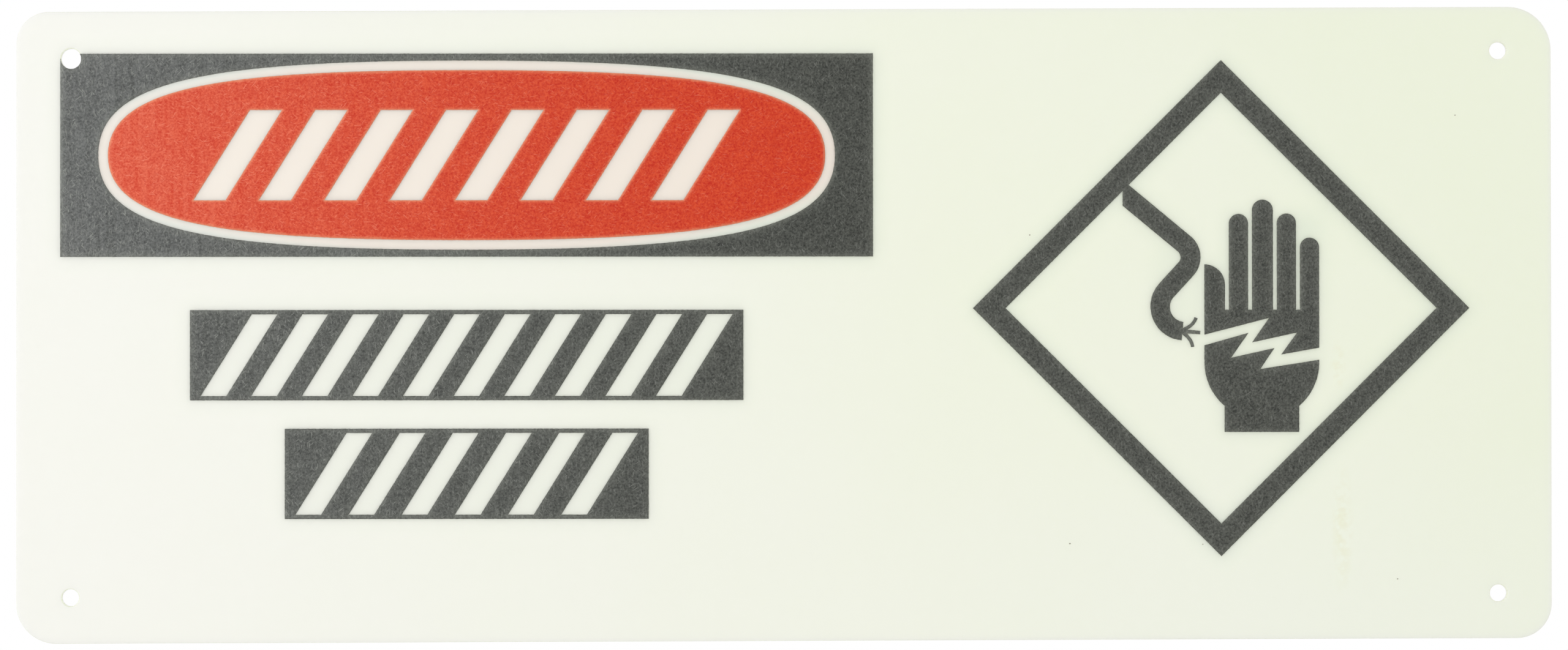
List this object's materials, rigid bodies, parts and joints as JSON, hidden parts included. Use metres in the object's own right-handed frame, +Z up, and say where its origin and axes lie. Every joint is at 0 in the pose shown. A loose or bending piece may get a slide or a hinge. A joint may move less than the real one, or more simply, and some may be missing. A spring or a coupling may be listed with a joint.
{
  "type": "high voltage warning sign",
  "caption": "Thin plastic wall sign with rounded corners and screw holes: a dark header with a red oval, striped caption bands, and a diamond with a frayed wire and a struck hand.",
  "frame": {"origin": "centre of the sheet's flat back face, the face that lies on the wall", "axes": "+X to the right as seen from the front, +Y out of the back face into the wall, +Z up; the print faces -Y"},
  "size_m": [0.4318, 0.0016, 0.179],
  "materials": {
    "pale_plastic": "pale greenish cream sheet, satin",
    "dark_ink": "matte grey black screen ink, rubbed",
    "red_ink": "matte orange red screen ink"
  },
  "bodies": {
    "root": {"sign_sheet": "pale_plastic", "header_panel": "dark_ink", "oval_field": "red_ink", "upper_caption": "dark_ink", "lower_caption": "dark_ink", "warning_diamond": "dark_ink", "hand_fingers": "dark_ink", "hand_heel": "dark_ink"}
  },
  "joints": []
}
